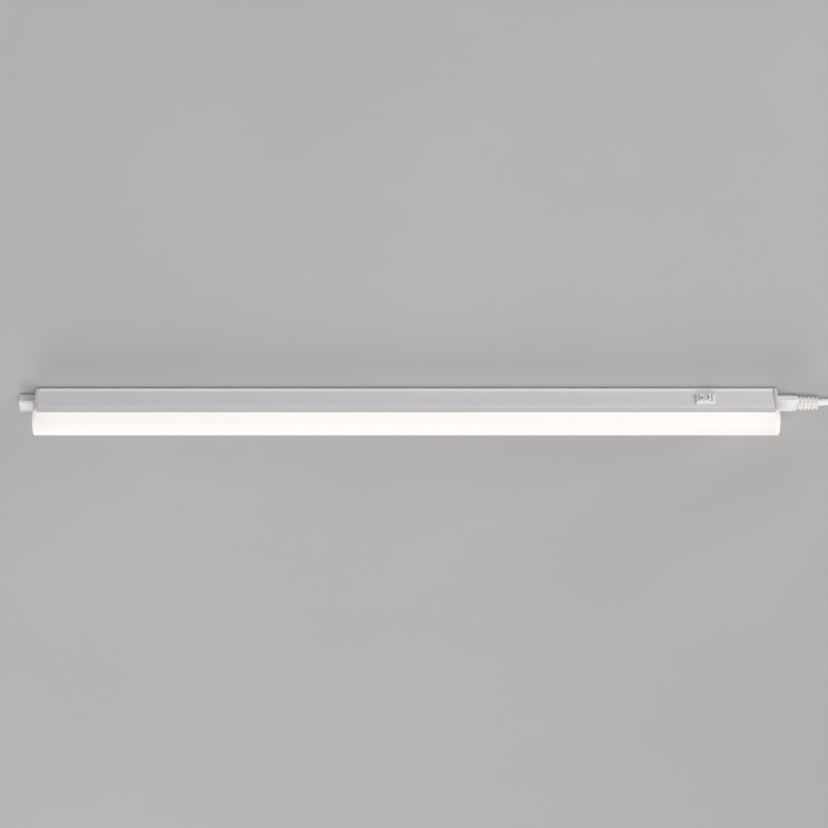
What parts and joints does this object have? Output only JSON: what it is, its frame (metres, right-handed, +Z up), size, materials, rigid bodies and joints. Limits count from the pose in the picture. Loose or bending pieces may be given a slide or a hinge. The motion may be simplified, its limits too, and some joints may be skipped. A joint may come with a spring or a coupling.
{
  "type": "led batten ceiling light",
  "caption": "Slim linear LED ceiling light: white metal profile, half-round opal diffuser, rocker switch, end caps with inlets, spring ceiling clips and a plug-in mains lead.",
  "frame": {"origin": "on the ceiling plane, midway between the screw holes of the two clips", "axes": "+X along the lamp towards the supply lead, -Y towards the side with the switch, +Z up into the ceiling"},
  "size_m": [0.7458, 0.0298, 0.1506],
  "materials": {
    "white_metal": "satin white paint",
    "opal": "frosted opal, lit from inside",
    "white_plastic": "fine satin",
    "steel": "brushed",
    "brass": "bright",
    "white_board": "white solder mask on an aluminium core",
    "led": "phosphor window",
    "lead_white": "satin soft plastic",
    "tie": "woven strap",
    "plated_pin": "nickel plate",
    "green_board": "solder mask",
    "film": "clear film",
    "resistor": "lacquer",
    "yellow_plastic": "gloss",
    "black_plastic": "moulded",
    "copper": "enamelled copper",
    "wire": "insulation"
  },
  "bodies": {
    "ceiling_mount": {"ceiling_clip_left": "steel", "ceiling_clip_right": "steel"},
    "lamp": {"base_profile": "white_metal", "diffuser": "opal", "feed_end_cap": "white_plastic", "link_end_cap": "white_plastic", "end_cap_screws": "steel", "feed_pins": "brass", "link_pins": "brass", "led_board": "white_board", "led_chips": "led", "switch_body": "white_plastic", "switch_blades": "brass", "driver_board": "green_board", "insulating_film": "film", "fuse_resistor": "resistor", "film_capacitor": "yellow_plastic", "bridge_rectifier": "black_plastic", "smoothing_capacitor": "black_plastic", "driver_chip": "black_plastic", "choke": "copper", "link_wires": "wire", "switch_wires": "wire", "neutral_wire": "wire", "led_wires": "wire"},
    "rocker": {"switch_rocker": "white_plastic", "switch_plunger": "white_plastic", "switch_spring": "steel"},
    "contact": {"switch_lever": "brass"},
    "cover": {"link_cover": "white_plastic"},
    "lead": {"lead_connector": "lead_white", "lead_sleeves": "brass", "strain_relief": "lead_white", "lead_run": "lead_white", "lead_coil": "lead_white", "coil_tie": "tie", "mains_plug": "lead_white", "plug_pins": "plated_pin"}
  },
  "joints": [
    {"name": "lamp_along_clips", "type": "slide", "parent": "ceiling_mount", "child": "lamp", "axis": [1, 0, 0], "range_m": [-0.08, 0.08]},
    {"name": "rocker_tilt", "type": "hinge", "parent": "lamp", "child": "rocker", "pos_m": [0.2302, -0.0116, -0.012], "axis": [0, 0, 1], "range_deg": [0, 18]},
    {"name": "contact_tilt", "type": "hinge", "parent": "lamp", "child": "contact", "pos_m": [0.2302, -0.0047, -0.012], "axis": [0, 0, 1], "range_deg": [-14.1, 0]},
    {"name": "cover_pull", "type": "slide", "parent": "lamp", "child": "cover", "axis": [-1, 0, 0], "range_m": [0, 0.012]},
    {"name": "lead_unplug", "type": "slide", "parent": "lamp", "child": "lead", "axis": [1, 0, 0], "range_m": [0, 0.012]}
  ],
  "couplings": [
    {"joint": "contact_tilt", "follows": "rocker_tilt", "ratio": -0.77778}
  ]
}
